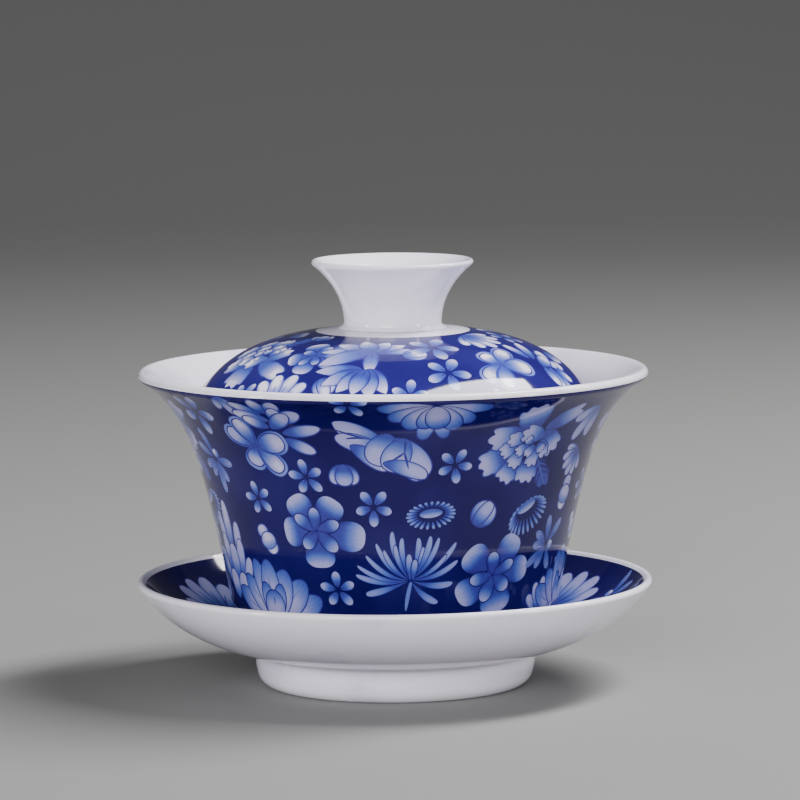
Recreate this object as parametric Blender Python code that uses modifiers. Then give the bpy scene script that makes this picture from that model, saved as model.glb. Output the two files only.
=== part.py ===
"""Gaiwan: a porcelain tea bowl with a domed lid and a saucer, modelled at rest.

Metres, +Z up. The origin is the centre of the saucer's foot ring on the table, and every
piece is turned about the Z axis. The saucer carries the bowl, whose foot stands in the
saucer's well, and the lid hangs inside the bowl's flared mouth, with its ring knob on top.
"""

import bpy
import numpy as np

# Driving dimensions, in millimetres.
MM = 0.001
TURN_STEPS = 48  # flats around every turned piece
TOUCH_GAP = 0.35  # air left between two pieces that rest on each other

SAUCER_RIM_R = 50.6
SAUCER_RIM_Z = 20.9
SAUCER_WALL = 2.2
SAUCER_FOOT_R = 27.6
SAUCER_FOOT_JOIN_Z = 6.4
FOOT_RING_WALL = 4.0
RECESS_CEILING_Z = 4.7
WELL_R = 25.2
WELL_FLOOR_Z = 7.9

BOWL_RIM_R = 50.0
BOWL_RIM_Z = 62.6
BOWL_WALL = 2.1
BOWL_SHOULDER_Z = 18.7
BOWL_SHOULDER_R = 3.7
BOWL_TAPER = 0.205  # how much the wall widens for each mm that it climbs
FLARE = 8.5  # extra radius of the mouth
FLARE_DEPTH = 6.8  # depth in which the flare falls to about a third
LIP_ROUND = 0.3  # how far the rounded lip stands out beyond the wall's end
BOWL_FOOT_R = 23.6
BOWL_FOOT_WALL = 2.4
BOWL_FOOT_Z = WELL_FLOOR_Z + TOUCH_GAP
BOWL_FLOOR_Z = 16.6
BOWL_UNDER_FLOOR_Z = 13.2

LID_RIM_R = 40.3
LID_TOP_Z = 71.0
LID_WALL = 2.2
DOME_SAG = 6.4  # the dome's even roundness, measured at the rim
DOME_ROLL = 9.1  # how much further the dome turns down close to its rim
DOME_POWER = 5.5

KNOB_RIM_R = 15.9
KNOB_NECK_R = 9.6
KNOB_TOP_Z = 84.1
KNOB_WALL = 2.1
KNOB_EDGE = 1.1  # the knob's wall thins to this at its rim


def bezier(start, pull_start, pull_end, end, count):
    """Points of a cubic curve from start to end, leaving and arriving along the two pulls."""
    t = np.linspace(0.0, 1.0, count)[:, None]
    ends = (1 - t) ** 3 * np.array(start) + t**3 * np.array(end)
    pulls = 3 * (1 - t) ** 2 * t * np.array(pull_start) + 3 * (1 - t) * t**2 * np.array(pull_end)
    return ends + pulls


def arc(centre, radius, first_deg, last_deg, count):
    """Points of a circular arc, from the first angle to the last."""
    angle = np.radians(np.linspace(first_deg, last_deg, count))
    return np.array(centre) + radius * np.column_stack((np.cos(angle), np.sin(angle)))


def offset(path, distance):
    """The path moved sideways by the distance, to its left as it runs."""
    step = np.gradient(path, axis=0)
    along = step / np.linalg.norm(step, axis=1)[:, None]
    return path + distance * np.column_stack((-along[:, 1], along[:, 0]))


def lip(outer, inner, count):
    """A half-round rim from the point inner to the point outer, without the two points."""
    centre = (np.array(outer) + np.array(inner)) / 2
    arm = np.array(inner) - centre
    turn = np.radians(np.linspace(0.0, -180.0, count + 2)[1:-1])
    spun = np.column_stack((
        arm[0] * np.cos(turn) - arm[1] * np.sin(turn),
        arm[0] * np.sin(turn) + arm[1] * np.cos(turn),
    ))
    return centre + spun


def glaze(name, colour, roughness):
    """Glossy glazed porcelain of one plain colour."""
    material = bpy.data.materials.new(name)
    material.use_nodes = True
    shader = material.node_tree.nodes["Principled BSDF"]
    shader.inputs["Base Color"].default_value = (*colour, 1.0)
    shader.inputs["Roughness"].default_value = roughness
    shader.inputs["Metallic"].default_value = 0.0
    return material


def turned(name, outline, material, collection):
    """Turn an outline, given as radius and height in mm, once about the Z axis."""
    points = [(radius * MM, 0.0, height * MM) for radius, height in outline]
    edges = [(index, index + 1) for index in range(len(points) - 1)]
    mesh = bpy.data.meshes.new(name)
    mesh.from_pydata(points, edges, [])
    piece = bpy.data.objects.new(name, mesh)
    collection.objects.link(piece)
    mesh.materials.append(material)
    spin = piece.modifiers.new("turn", "SCREW")
    spin.steps = TURN_STEPS
    spin.render_steps = TURN_STEPS
    spin.use_merge_vertices = True
    spin.merge_threshold = 0.00001
    spin.use_smooth_shade = True
    return piece


def saucer_outline():
    """Well floor, inner slope, rim, belly, foot ring and the recess under the floor."""
    belly = bezier(
        (SAUCER_RIM_R, SAUCER_RIM_Z - 1.5), (47.3, 14.2), (39.2, 8.8), (28.4, 6.9), 9
    )
    slope = offset(belly, -SAUCER_WALL)[::-1]
    foot_inner_r = SAUCER_FOOT_R - FOOT_RING_WALL - 1.4
    return [
        (0.0, WELL_FLOOR_Z),
        (WELL_R - 0.6, WELL_FLOOR_Z),
        (WELL_R, WELL_FLOOR_Z + 0.5),
        (WELL_R + 0.9, WELL_FLOOR_Z + 1.2),
        *slope,
        *lip(belly[0], slope[-1], 3),
        *belly,
        (SAUCER_FOOT_R + 0.1, SAUCER_FOOT_JOIN_Z),
        (SAUCER_FOOT_R - 0.1, 4.0),
        (SAUCER_FOOT_R - 0.7, 1.6),
        (SAUCER_FOOT_R - 1.8, 0.4),
        (SAUCER_FOOT_R - 2.8, 0.0),
        (foot_inner_r + 0.5, 0.0),
        (foot_inner_r, 0.4),
        (foot_inner_r - 0.8, RECESS_CEILING_Z - 1.0),
        (foot_inner_r - 2.2, RECESS_CEILING_Z),
        (0.0, RECESS_CEILING_Z),
    ]


def bowl_wall():
    """Outer wall from lip to shoulder: a straight taper and a flare that dies away downwards."""
    low, high = BOWL_SHOULDER_Z, BOWL_RIM_Z - 1.85
    depth = (high - low) * np.linspace(0.0, 1.0, 12) ** 1.5
    mouth_r = BOWL_RIM_R - LIP_ROUND - FLARE
    radius = mouth_r - BOWL_TAPER * depth + FLARE * np.exp(-depth / FLARE_DEPTH)
    return np.column_stack((radius, high - depth))


def bowl_outline():
    """Floor, inner wall, lip, outer wall, shoulder, foot ring and the recess under the floor."""
    wall = bowl_wall()
    inside = offset(wall, -BOWL_WALL)[::-1]
    floor_turn = bezier(
        (12.0, BOWL_FLOOR_Z), (22.5, BOWL_FLOOR_Z), (28.9, 17.6), (inside[1][0] - 0.35, 23.8), 7
    )
    shoulder_centre = (wall[-1][0] - BOWL_SHOULDER_R, BOWL_SHOULDER_Z)
    shoulder = arc(shoulder_centre, BOWL_SHOULDER_R, -18.0, -72.0, 4)
    return [
        (0.0, BOWL_FLOOR_Z),
        *floor_turn,
        *inside[1:],
        *lip(wall[0], inside[-1], 3),
        *wall,
        *shoulder,
        (BOWL_FOOT_R + 1.2, BOWL_UNDER_FLOOR_Z + 0.5),
        (BOWL_FOOT_R + 0.4, BOWL_UNDER_FLOOR_Z - 0.6),
        (BOWL_FOOT_R, BOWL_FOOT_Z + 0.8),
        (BOWL_FOOT_R - 0.6, BOWL_FOOT_Z),
        (BOWL_FOOT_R - BOWL_FOOT_WALL, BOWL_FOOT_Z),
        (BOWL_FOOT_R - BOWL_FOOT_WALL - 0.5, BOWL_FOOT_Z + 0.6),
        (BOWL_FOOT_R - BOWL_FOOT_WALL - 0.9, BOWL_UNDER_FLOOR_Z - 1.2),
        (BOWL_FOOT_R - BOWL_FOOT_WALL - 2.2, BOWL_UNDER_FLOOR_Z),
        (0.0, BOWL_UNDER_FLOOR_Z),
    ]


def dome_height(radius):
    """Height of the lid's outer face: a shallow round dome that rolls over near its rim."""
    share = radius / LID_RIM_R
    return LID_TOP_Z - DOME_SAG * share**2 - DOME_ROLL * share**DOME_POWER


def lid_outline():
    """Dome from its top out to the rim, then back along the underside."""
    radius = LID_RIM_R * np.sin(np.radians(np.linspace(0.0, 90.0, 14)))
    dome = np.column_stack((radius, dome_height(radius)))
    under = offset(dome, -LID_WALL)[::-1]
    under[-1] = (0.0, LID_TOP_Z - LID_WALL)
    return [*dome, *lip(under[0], dome[-1], 3), *under]


def knob_outline():
    """A waisted ring, open at the top and standing on the dome: inside first, then outside."""
    edge_z = KNOB_TOP_Z - 0.95
    flare = bezier((KNOB_RIM_R - 0.15, edge_z), (11.2, 79.4), (9.75, 75.5), (KNOB_NECK_R, 71.6), 9)
    inner_edge = (KNOB_RIM_R - 0.15 - 0.7 * KNOB_EDGE, edge_z + 0.7 * KNOB_EDGE)
    hollow_r = KNOB_NECK_R - KNOB_WALL
    hollow = bezier((hollow_r, 71.8), (hollow_r + 0.1, 76.5), (10.6, 81.0), inner_edge, 8)
    seat_r = KNOB_NECK_R + 0.9
    return [
        (hollow_r, dome_height(hollow_r) + TOUCH_GAP),
        *hollow,
        *lip(flare[0], hollow[-1], 3),
        *flare,
        (KNOB_NECK_R + 0.2, 71.0),
        (seat_r, dome_height(seat_r) + TOUCH_GAP),
        (hollow_r, dome_height(hollow_r) + TOUCH_GAP),
    ]


for leftover in list(bpy.data.objects):
    bpy.data.objects.remove(leftover, do_unlink=True)

gaiwan = bpy.data.collections.new("gaiwan")
bpy.context.scene.collection.children.link(gaiwan)

white_glaze = glaze("white_glaze", (0.80, 0.79, 0.83), 0.12)
deep_cobalt = glaze("deep_cobalt", (0.012, 0.020, 0.180), 0.12)
bright_cobalt = glaze("bright_cobalt", (0.030, 0.060, 0.420), 0.12)

saucer = turned("saucer", saucer_outline(), white_glaze, gaiwan)
bowl = turned("bowl", bowl_outline(), deep_cobalt, gaiwan)
lid = turned("lid", lid_outline(), bright_cobalt, gaiwan)
lid_knob = turned("lid_knob", knob_outline(), white_glaze, gaiwan)

# The saucer carries the bowl and the bowl carries the lid.
bowl.parent = saucer
lid.parent = bowl
lid_knob.parent = lid
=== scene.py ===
"""Gaiwan: the glazed, flower-printed porcelain of the saucer, bowl, lid and knob."""

import math

import bpy
import numpy as np
from mathutils import Matrix, Vector
from mathutils.geometry import delaunay_2d_cdt


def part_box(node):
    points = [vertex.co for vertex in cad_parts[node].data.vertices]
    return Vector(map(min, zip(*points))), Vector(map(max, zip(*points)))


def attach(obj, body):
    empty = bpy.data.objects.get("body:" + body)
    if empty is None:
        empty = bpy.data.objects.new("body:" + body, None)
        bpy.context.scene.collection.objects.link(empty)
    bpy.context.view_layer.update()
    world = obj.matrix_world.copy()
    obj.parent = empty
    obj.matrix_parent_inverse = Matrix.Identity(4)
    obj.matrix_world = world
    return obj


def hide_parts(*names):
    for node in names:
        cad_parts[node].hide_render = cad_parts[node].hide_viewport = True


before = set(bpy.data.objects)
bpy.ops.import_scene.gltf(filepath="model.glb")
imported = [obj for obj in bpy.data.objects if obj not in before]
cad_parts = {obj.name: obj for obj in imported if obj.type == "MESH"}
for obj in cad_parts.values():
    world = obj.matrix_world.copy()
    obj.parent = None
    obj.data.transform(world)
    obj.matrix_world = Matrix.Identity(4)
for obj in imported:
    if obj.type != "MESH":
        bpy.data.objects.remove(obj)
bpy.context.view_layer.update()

# ---------------------------------------------------------------------------------------
# Saucer. Thrown and turned porcelain with a foot ring cut from the same clay, a well that
# takes the bowl's foot, and a rim left white. A cobalt flower print lies under the clear
# glaze of its inner slope; the foot's standing edge is wiped bare so it fires unglazed.
# ---------------------------------------------------------------------------------------

MM = 0.001  # outlines are in millimetres and meshes in metres

# Tones of the print, from the deepest cobalt to the bare white body.
DEEP, LINE, WASH, MID, PALE, WHITE = 0.0, 0.22, 0.38, 0.5, 0.9, 1.0


def bezier(start, pull_start, pull_end, end, count):
    """Cubic curve: the four points weighted by the Bernstein polynomials of t."""
    t = np.linspace(0.0, 1.0, count)[:, None]
    ends = (1 - t) ** 3 * np.array(start) + t**3 * np.array(end)
    return ends + 3 * (1 - t) ** 2 * t * np.array(pull_start) + 3 * (1 - t) * t**2 * np.array(pull_end)


def arc(centre, radius, first_deg, last_deg, count):
    """Points on a circle round the centre, at even angles from the first to the last."""
    angle = np.radians(np.linspace(first_deg, last_deg, count))
    return np.array(centre) + radius * np.column_stack((np.cos(angle), np.sin(angle)))


def offset(path, distance):
    """Each point moved along its left-hand normal, the tangent turned by a quarter."""
    step = np.gradient(path, axis=0)
    along = step / np.linalg.norm(step, axis=1)[:, None]
    return path + distance * np.column_stack((-along[:, 1], along[:, 0]))


def half_round(inner, outer, count):
    """Half circle on the line from inner to outer: the arm inner minus centre, turned clockwise."""
    centre = (np.array(outer) + np.array(inner)) / 2
    arm = complex(*(np.array(inner) - centre))
    spun = arm * np.exp(-1j * np.pi * np.arange(1, count + 1) / (count + 1))
    return centre + np.column_stack((spun.real, spun.imag))


class Profile:
    """A smooth outline, radius and height in mm, read by its arc length s in mm.

    Catmull-Rom cubics run through the corner points; radius, height and the left-hand
    normal are then looked up along s, which is the summed length of the curve's steps.
    """

    def __init__(self, corners):
        corners = np.array([tuple(corner) for corner in corners], float)
        ends = np.vstack((2 * corners[:1] - corners[1:2], corners, 2 * corners[-1:] - corners[-2:-1]))
        chord = np.sqrt(np.linalg.norm(np.diff(ends, axis=0), axis=1))[:, None]
        slope = (
            (ends[1:-1] - ends[:-2]) / chord[:-1]
            - (ends[2:] - ends[:-2]) / (chord[:-1] + chord[1:])
            + (ends[2:] - ends[1:-1]) / chord[1:]
        )
        t = np.linspace(0.0, 1.0, 24, endpoint=False)[None, :, None]
        span = chord[1:-1, None]
        begin, finish = corners[:-1, None], corners[1:, None]
        curve = (
            (2 * t**3 - 3 * t**2 + 1) * begin
            + (t**3 - 2 * t**2 + t) * span * slope[:-1, None]
            + (3 * t**2 - 2 * t**3) * finish
            + (t**3 - t**2) * span * slope[1:, None]
        )
        self.line = np.vstack((curve.reshape(-1, 2), corners[-1:]))
        self.line[:, 0] = np.maximum(self.line[:, 0], 0.0)
        steps = np.linalg.norm(np.diff(self.line, axis=0), axis=1)
        self.s = np.concatenate(([0.0], np.cumsum(steps)))
        tangent = np.gradient(self.line, self.s, axis=0)
        self.tangent = tangent / np.linalg.norm(tangent, axis=1)[:, None]
        self.length = self.s[-1]

    def at(self, s):
        """Radius and height at s."""
        return np.interp(s, self.s, self.line[:, 0]), np.interp(s, self.s, self.line[:, 1])

    def slope_at(self, s):
        """Unit tangent at s, as its share outward and its share upward."""
        return np.interp(s, self.s, self.tangent[:, 0]), np.interp(s, self.s, self.tangent[:, 1])

    def nearest(self, radius, height):
        """The s of the point of the outline that is closest to a radius and height."""
        return self.s[np.argmin(np.hypot(self.line[:, 0] - radius, self.line[:, 1] - height))]

    def rows(self, first, last, step_mm, step_deg):
        """Values of s that are close where the outline bends and step_mm apart where it doesn't."""
        inside = (self.s > first) & (self.s < last)
        s = np.concatenate(([first], self.s[inside], [last]))
        outward, upward = self.slope_at(s)
        turn = np.abs(np.diff(np.unwrap(np.arctan2(upward, outward))))
        effort = np.concatenate(([0.0], np.cumsum(np.diff(s) / step_mm + np.degrees(turn) / step_deg)))
        count = max(2, int(math.ceil(effort[-1])) + 1)
        return np.interp(np.linspace(0.0, effort[-1], count), effort, s)


def petal(root, turn, length, width, belly=(0.7, 0.5), tones=(MID, PALE), fade=0.45, bend=0.0, frill=0.0,
          points=22):
    """One petal as a shape of the print, drawn from its root in the direction turn degrees.

    Its half width at the share t of its length is t to the power belly[0] times 1 - t to the
    power belly[1], scaled so that its widest place is half the width. A bend leans the tip
    sideways with t squared, and a frill notches the edge near the tip into lobes. The first
    tone turns into the second around the share of the length given by fade. A shape is its
    outline and root as complex numbers, its heading times its length, its half width, its
    bend, and its tones with their fade.
    """
    low, high = belly
    widest = low / (low + high)
    t = (1 - np.cos(np.linspace(0.0, np.pi, points // 2 + 1))) / 2
    half = width / 2 * (t / widest) ** low * ((1 - t) / (1 - widest)) ** high
    side = bend * length * t**2
    right = np.column_stack((side + half, t * length))
    left = np.column_stack((side - half, t * length))[::-1][1:-1]
    outline = np.vstack((right, left))
    if frill:
        angle = np.arctan2(outline[:, 0], outline[:, 1])
        reach = 1 - frill * (1 - np.abs(np.cos(9.0 * angle + 1.2 * turn))) * (outline[:, 1] / length)
        outline = outline * reach[:, None]
    heading = np.exp(-1j * np.radians(turn))
    curve = complex(*root) + (outline[:, 0] + 1j * outline[:, 1]) * heading
    return [(curve, complex(*root), heading * length, width / 2, bend, (*tones, fade))]


def drawn(root, turn, length, width, line=0.24, ink=LINE, **looks):
    """A petal with a drawn edge: the same petal grown by the line's width lies under it."""
    back = np.exp(-1j * np.radians(turn)) * 1j * line * 0.8
    start = (root[0] - back.real, root[1] - back.imag)
    under = dict(looks, tones=(ink, ink))
    edge = petal(start, turn, length + 1.9 * line, width + 2 * line, **under)
    return edge + petal(root, turn, length, width, **looks)


def drawn_petals(size, rows, **looks):
    """Drawn petals from rows of root x, root y, turn in degrees, reach and width, as shares of the size."""
    return [shape for x, y, turn, reach, width in rows
            for shape in drawn((x * size, y * size), turn, reach * size, width * size, **looks)]


def stroke(root, turn, length, width, tones=(LINE, LINE), bend=0.0):
    """A brush line that swells in its middle and runs out at both ends."""
    return petal(root, turn, length, width, belly=(0.45, 0.6), tones=tones, bend=bend, points=12)


def polar(distance, turn):
    """The point that lies at a distance in the direction turn degrees, clockwise from up."""
    return distance * math.sin(math.radians(turn)), distance * math.cos(math.radians(turn))


def star(size):
    """Small open flower: five separate petals, blue at the root, each with a short vein."""
    shapes = []
    for k, reach in enumerate((1.0, 0.92, 1.04, 0.9, 0.98)):
        turn = 6.0 + 72.0 * k
        shapes += petal(polar(0.14 * size, turn), turn, 0.88 * reach * size, 0.50 * size, belly=(0.85, 0.6),
                        tones=(0.34, 0.82), fade=0.55, points=18)
        shapes += stroke(polar(0.1 * size, turn), turn, 0.5 * size, 0.07 * size, tones=(0.1, 0.4))
    return shapes


def bud(size):
    """Closed bud of three petals: two curl round behind a full middle one."""
    looks = dict(belly=(0.6, 0.42), tones=(0.34, 0.86), fade=0.5)
    left = drawn_petals(size, ((-0.08, -0.48, -34, 0.95, 0.56),), bend=0.12, points=20, **looks)
    right = drawn_petals(size, ((0.08, -0.48, 34, 0.95, 0.56),), bend=-0.12, points=20, **looks)
    return left + right + drawn_petals(size, ((0.0, -0.52, 0, 1.0, 0.76),), points=24, **looks)


def ball_bud(size):
    """Round bud whose wrapped petals show as three bands."""
    looks = dict(tones=(0.34, 0.88), fade=0.34)
    whole = drawn((0.0, -0.5 * size), 0, size, 0.98 * size, belly=(0.5, 0.45), **looks)
    return whole + drawn((-0.02 * size, -0.5 * size), 0, 1.02 * size, 0.52 * size, belly=(0.4, 0.36), **looks)


def blossom(size, outer, inner):
    """Open flower of five broad airbrushed petals with five small drawn petals over its heart.

    Each petal is given as its turn in degrees, its reach and its width as shares of the size.
    """
    shapes = []
    for turn, reach, width in outer:
        shapes += petal(polar(0.2 * size, turn), turn, (reach - 0.2) * size, width * size, belly=(0.62, 0.38),
                        tones=(0.28, 0.86), fade=0.62, points=34)
    for turn, reach, width in inner:
        shapes += drawn(polar(0.03 * size, turn), turn, reach * size, width * size, ink=0.06,
                        belly=(0.75, 0.55), tones=(0.30, 0.82), fade=0.66)
    for turn in (20, 92, 164, 236, 308):
        shapes += stroke(polar(0.02 * size, turn), turn, 0.17 * size, 0.07 * size)
    return shapes


def left_blossom(size):
    """The big blossom that stands left of the bowl's middle."""
    outer = ((-33, 0.87, 0.60), (35, 0.84, 0.60), (99, 1.04, 0.66), (178, 0.80, 0.66), (264, 0.76, 0.64))
    inner = ((217, 0.46, 0.29), (-57, 0.52, 0.27), (70, 0.50, 0.27), (136, 0.56, 0.31), (-3, 0.47, 0.26))
    return blossom(size, outer, inner)


def lotus(size):
    """Lotus from the side: pale petals in two rows, each drawn and blue only at its tip."""
    looks = dict(belly=(0.66, 0.52), tones=(0.86, 0.34), fade=0.78, ink=0.12)
    shapes = []
    for lean, reach, width in ((-70, 0.98, 0.36), (72, 1.0, 0.40), (-47, 0.92, 0.34), (50, 0.96, 0.44),
                               (-22, 1.02, 0.36), (24, 0.90, 0.44), (-3, 0.98, 0.42)):
        shapes += drawn(polar(0.02 * size, lean), lean, reach * size, width * size, points=26, **looks)
        vein = lean - 2
        shapes += stroke(polar(0.45 * size, vein), vein, 0.3 * reach * size, 0.03 * size, tones=(0.6, 0.6))
    for lean, reach, width in ((-17, 0.66, 0.28), (19, 0.66, 0.27), (1, 0.52, 0.42)):
        shapes += drawn((0.0, -0.02 * size), lean, reach * size, width * size, **looks)
        shapes += stroke(polar(0.26 * size, lean), lean, 0.28 * reach * size, 0.03 * size, tones=(0.5, 0.3))
    return shapes


def lined_flower(size):
    """Small flower whose narrow petals carry two drawn lines each, round a pale button."""
    shapes = []
    for turn, reach in ((-64, 0.8), (-14, 1.0), (34, 1.1), (150, 0.9), (200, 0.86), (224, 1.16), (262, 0.7)):
        shapes += petal(polar(0.12 * size, turn), turn, reach * size, 0.34 * size,
                        belly=(0.9, 0.55), tones=(0.3, 0.66), points=20)
        shapes += drawn(polar(0.24 * size, turn), turn, (reach - 0.2) * size, 0.16 * size, line=0.13,
                        belly=(0.9, 0.6), tones=(0.4, 0.74), points=16)
        shapes += stroke(polar(0.36 * size, turn), turn, (reach - 0.4) * size, 0.05 * size,
                         tones=(0.25, 0.25))
    button = (0.26, -0.16, 0, 0.34, 0.32)
    return shapes + drawn_petals(size, (button,), line=0.16, belly=(0.5, 0.5), points=18)


def spray(size):
    """A few loose pale petals from one point."""
    shapes = []
    for lean, reach in ((-34, 0.86), (34, 0.8), (-2, 1.0)):
        shapes += drawn(polar(0.1 * size, lean), lean, reach * size, 0.36 * size, belly=(0.8, 0.55),
                        tones=(0.34, 0.82), fade=0.36)
    return shapes


def half_fan(size):
    """Half of an open flower, its petals fanned from a point and blue at the root."""
    shapes = []
    for lean, reach, width in (
        (-64, 0.9, 0.3), (66, 0.88, 0.3), (-38, 1.0, 0.34), (40, 0.98, 0.34), (-13, 1.04, 0.36),
        (14, 1.0, 0.34),
    ):
        shapes += drawn((0.0, 0.0), lean, reach * size, width * size, belly=(0.9, 0.45),
                        tones=(0.3, 0.88), fade=0.42)
        shapes += stroke(polar(0.2 * size, lean), lean, 0.5 * size, 0.04 * size, tones=(0.2, 0.5))
    return shapes


def gradient_nodes(nodes, links):
    """The tone of the print: each shape runs from its root tone to its tip tone, brushed in streaks."""
    tones = nodes.new("ShaderNodeAttribute")
    tones.attribute_name = "tones"
    ends = nodes.new("ShaderNodeSeparateXYZ")
    links.new(tones.outputs["Vector"], ends.inputs[0])
    place = nodes.new("ShaderNodeUVMap")
    place.uv_map = "petal"
    sides = nodes.new("ShaderNodeSeparateXYZ")
    links.new(place.outputs["UV"], sides.inputs[0])

    stretch = nodes.new("ShaderNodeMapping")
    stretch.inputs["Scale"].default_value = (1.7, 0.45, 1.0)
    links.new(place.outputs["UV"], stretch.inputs["Vector"])
    streaks = nodes.new("ShaderNodeTexNoise")
    streaks.inputs["Scale"].default_value = 4.0
    streaks.inputs["Detail"].default_value = 3.0
    links.new(stretch.outputs["Vector"], streaks.inputs["Vector"])

    # The streaks push the fade along by up to a seventh of the petal's length.
    brushed = nodes.new("ShaderNodeMath")
    brushed.operation = "MULTIPLY_ADD"
    brushed.inputs[1].default_value = 0.14
    links.new(streaks.outputs["Fac"], brushed.inputs[0])
    links.new(sides.outputs["Y"], brushed.inputs[2])
    past = nodes.new("ShaderNodeMath")
    past.operation = "SUBTRACT"
    links.new(brushed.outputs[0], past.inputs[0])
    links.new(ends.outputs["Z"], past.inputs[1])
    fade = nodes.new("ShaderNodeMapRange")
    fade.interpolation_type = "SMOOTHSTEP"
    fade.inputs["From Min"].default_value = -0.23
    fade.inputs["From Max"].default_value = 0.37
    links.new(past.outputs[0], fade.inputs["Value"])

    blend = nodes.new("ShaderNodeMix")
    links.new(fade.outputs["Result"], blend.inputs["Factor"])
    links.new(ends.outputs["X"], blend.inputs["A"])
    links.new(ends.outputs["Y"], blend.inputs["B"])

    # Pigment pools towards the two edges of a petal, where the map's X nears -1 or 1.
    across = nodes.new("ShaderNodeMath")
    across.operation = "ABSOLUTE"
    links.new(sides.outputs["X"], across.inputs[0])
    edge = nodes.new("ShaderNodeMath")
    edge.operation = "POWER"
    edge.inputs[1].default_value = 3.5
    links.new(across.outputs[0], edge.inputs[0])
    pooled = nodes.new("ShaderNodeMath")
    pooled.operation = "MULTIPLY_ADD"
    pooled.inputs[1].default_value = -0.22
    links.new(edge.outputs[0], pooled.inputs[0])
    links.new(blend.outputs["Result"], pooled.inputs[2])
    return pooled.outputs[0]


def porcelain(name):
    """Cobalt print and white body under a clear glaze, with the bare clay of a wiped foot."""
    material = bpy.data.materials.new(name)
    material.use_nodes = True
    nodes, links = material.node_tree.nodes, material.node_tree.links
    shader = nodes["Principled BSDF"]
    tone = gradient_nodes(nodes, links)
    wiped = nodes.new("ShaderNodeAttribute")
    wiped.attribute_name = "bare"
    bare = wiped.outputs["Fac"]

    where = nodes.new("ShaderNodeTexCoord")
    clouds = nodes.new("ShaderNodeTexNoise")
    clouds.inputs["Scale"].default_value = 55.0
    clouds.inputs["Detail"].default_value = 4.0
    links.new(where.outputs["Object"], clouds.inputs["Vector"])
    uneven = nodes.new("ShaderNodeMapRange")
    uneven.inputs["From Min"].default_value = 0.35
    uneven.inputs["From Max"].default_value = 0.75
    uneven.inputs["To Min"].default_value = -0.02
    uneven.inputs["To Max"].default_value = 0.07
    links.new(clouds.outputs["Fac"], uneven.inputs["Value"])
    lifted = nodes.new("ShaderNodeMath")
    lifted.operation = "ADD"
    links.new(tone, lifted.inputs[0])
    links.new(uneven.outputs["Result"], lifted.inputs[1])

    wash = nodes.new("ShaderNodeValToRGB")
    wash.color_ramp.elements[0].color = (0.0055, 0.0018, 0.068, 1.0)
    wash.color_ramp.elements[1].color = (0.82, 0.785, 0.89, 1.0)
    for position, colour in (
        (LINE, (0.028, 0.022, 0.205)),
        (WASH, (0.041, 0.058, 0.320)),
        (MID, (0.068, 0.114, 0.430)),
        (0.7, (0.152, 0.190, 0.510)),
        (PALE, (0.335, 0.328, 0.600)),
    ):
        wash.color_ramp.elements.new(position).color = (*colour, 1.0)
    links.new(lifted.outputs[0], wash.inputs["Fac"])

    clay = nodes.new("ShaderNodeMix")
    clay.data_type = "RGBA"
    clay.inputs[7].default_value = (0.70, 0.66, 0.60, 1.0)
    links.new(bare, clay.inputs[0])
    links.new(wash.outputs["Color"], clay.inputs[6])
    links.new(clay.outputs[2], shader.inputs["Base Color"])

    gloss = nodes.new("ShaderNodeMapRange")
    gloss.inputs["To Min"].default_value = 0.07
    gloss.inputs["To Max"].default_value = 0.62
    links.new(bare, gloss.inputs["Value"])
    links.new(gloss.outputs["Result"], shader.inputs["Roughness"])
    shader.inputs["IOR"].default_value = 1.40

    ripple = nodes.new("ShaderNodeTexNoise")
    ripple.inputs["Scale"].default_value = 130.0
    ripple.inputs["Detail"].default_value = 2.0
    links.new(where.outputs["Object"], ripple.inputs["Vector"])
    skin = nodes.new("ShaderNodeBump")
    skin.inputs["Strength"].default_value = 0.05
    skin.inputs["Distance"].default_value = 0.0004
    links.new(ripple.outputs["Fac"], skin.inputs["Height"])
    links.new(skin.outputs["Normal"], shader.inputs["Normal"])
    return material


COLUMNS = 240  # steps around each turned piece


def topmost(spots, outlines):
    """For each spot the number, from 1, of the last outline that winds round it, or else 0.

    An outline's edges that pass to the right of the spot count +1 upward and -1 downward,
    and the outline winds round the spot when the sum isn't zero.
    """
    owner = np.zeros(len(spots), dtype=int)
    by_x = np.argsort(spots[:, 0])
    sorted_x = spots[by_x, 0]
    for number, outline in enumerate(outlines, 1):
        low, high = outline.min(axis=0), outline.max(axis=0)
        near = by_x[np.searchsorted(sorted_x, low[0]):np.searchsorted(sorted_x, high[0])]
        near = near[(spots[near, 1] > low[1]) & (spots[near, 1] < high[1])]
        x, y = spots[near].T
        begin, end = outline[:, :, None], np.roll(outline, -1, axis=0)[:, :, None]
        rise = np.where(end[:, 1] == begin[:, 1], 1.0, end[:, 1] - begin[:, 1])
        cross = begin[:, 0] + (y - begin[:, 1]) * (end[:, 0] - begin[:, 0]) / rise
        upward = (begin[:, 1] <= y) & (end[:, 1] > y) & (cross > x)
        downward = (begin[:, 1] > y) & (end[:, 1] <= y) & (cross > x)
        owner[near[upward.sum(axis=0) != downward.sum(axis=0)]] = number
    return owner


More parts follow.
